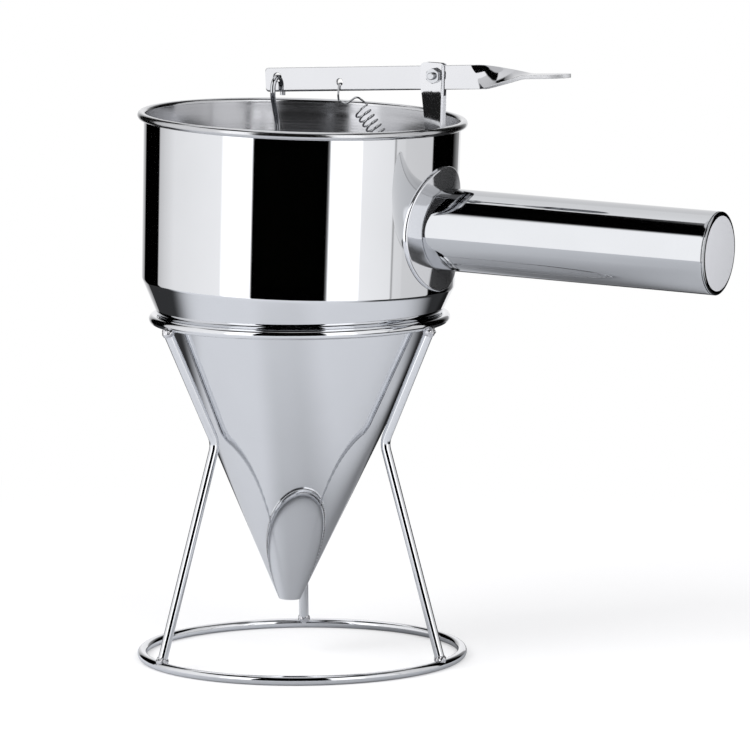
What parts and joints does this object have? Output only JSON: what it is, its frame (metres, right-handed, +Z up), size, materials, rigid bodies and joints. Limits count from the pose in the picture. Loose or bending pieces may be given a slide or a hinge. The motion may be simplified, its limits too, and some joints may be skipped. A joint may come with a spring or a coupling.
{
  "type": "pancake batter dispenser",
  "caption": "Polished steel funnel with a side handle and a sprung thumb lever that lifts a plug off its outlet, resting in a wire stand.",
  "frame": {"origin": "on the table, on the axis of the stand's base ring", "axes": "+Z up, +X from the stand's axis towards the handle, +Y to the rear left when looking along +X"},
  "size_m": [0.2552, 0.1362, 0.2478],
  "materials": {
    "stand_wire": "bright chromed steel wire",
    "weld": "polished weld bead",
    "polished_steel": "mirror-polished stainless sheet",
    "brushed_steel": "satin stainless sheet",
    "lever_steel": "satin-polished stainless bar",
    "zinc_steel": "bright plated small screw",
    "spring_wire": "drawn stainless wire",
    "white_plastic": "white food-grade plastic"
  },
  "bodies": {
    "stand": {"upper_ring": "stand_wire", "base_ring": "stand_wire", "leg_rear": "stand_wire", "leg_left": "stand_wire", "leg_right": "stand_wire", "weld_top_rear": "weld", "weld_top_left": "weld", "weld_top_right": "weld", "weld_foot_rear": "weld", "weld_foot_left": "weld", "weld_foot_right": "weld"},
    "funnel": {"funnel_shell": "polished_steel", "handle_flange": "polished_steel", "handle_tube": "polished_steel", "handle_end_cap": "polished_steel", "lever_bracket": "brushed_steel", "bracket_weld_near": "weld", "bracket_weld_far": "weld", "pivot_screw": "zinc_steel", "pivot_nut": "zinc_steel", "return_spring": "spring_wire"},
    "lever": {"thumb_lever": "lever_steel"},
    "valve": {"valve_rod": "spring_wire", "valve_plug": "white_plastic"}
  },
  "joints": [
    {"name": "funnel_lift", "type": "slide", "parent": "stand", "child": "funnel", "axis": [0, 0, 1], "range_m": [0, 0.13]},
    {"name": "lever_pivot", "type": "hinge", "parent": "funnel", "child": "lever", "pos_m": [0.06283, 0, 0.24252], "axis": [0, 1, 0], "range_deg": [0, 12], "stiffness_Nm_per_rad": 1.7, "springref_deg": -5.73, "deforming": ["return_spring"]},
    {"name": "valve_slide", "type": "slide", "parent": "funnel", "child": "valve", "axis": [0.0387, 0, 0.9992], "range_m": [0, 0.015]}
  ],
  "couplings": [
    {"joint": "valve_slide", "follows": "lever_pivot", "m_per_rad": 0.0716}
  ]
}
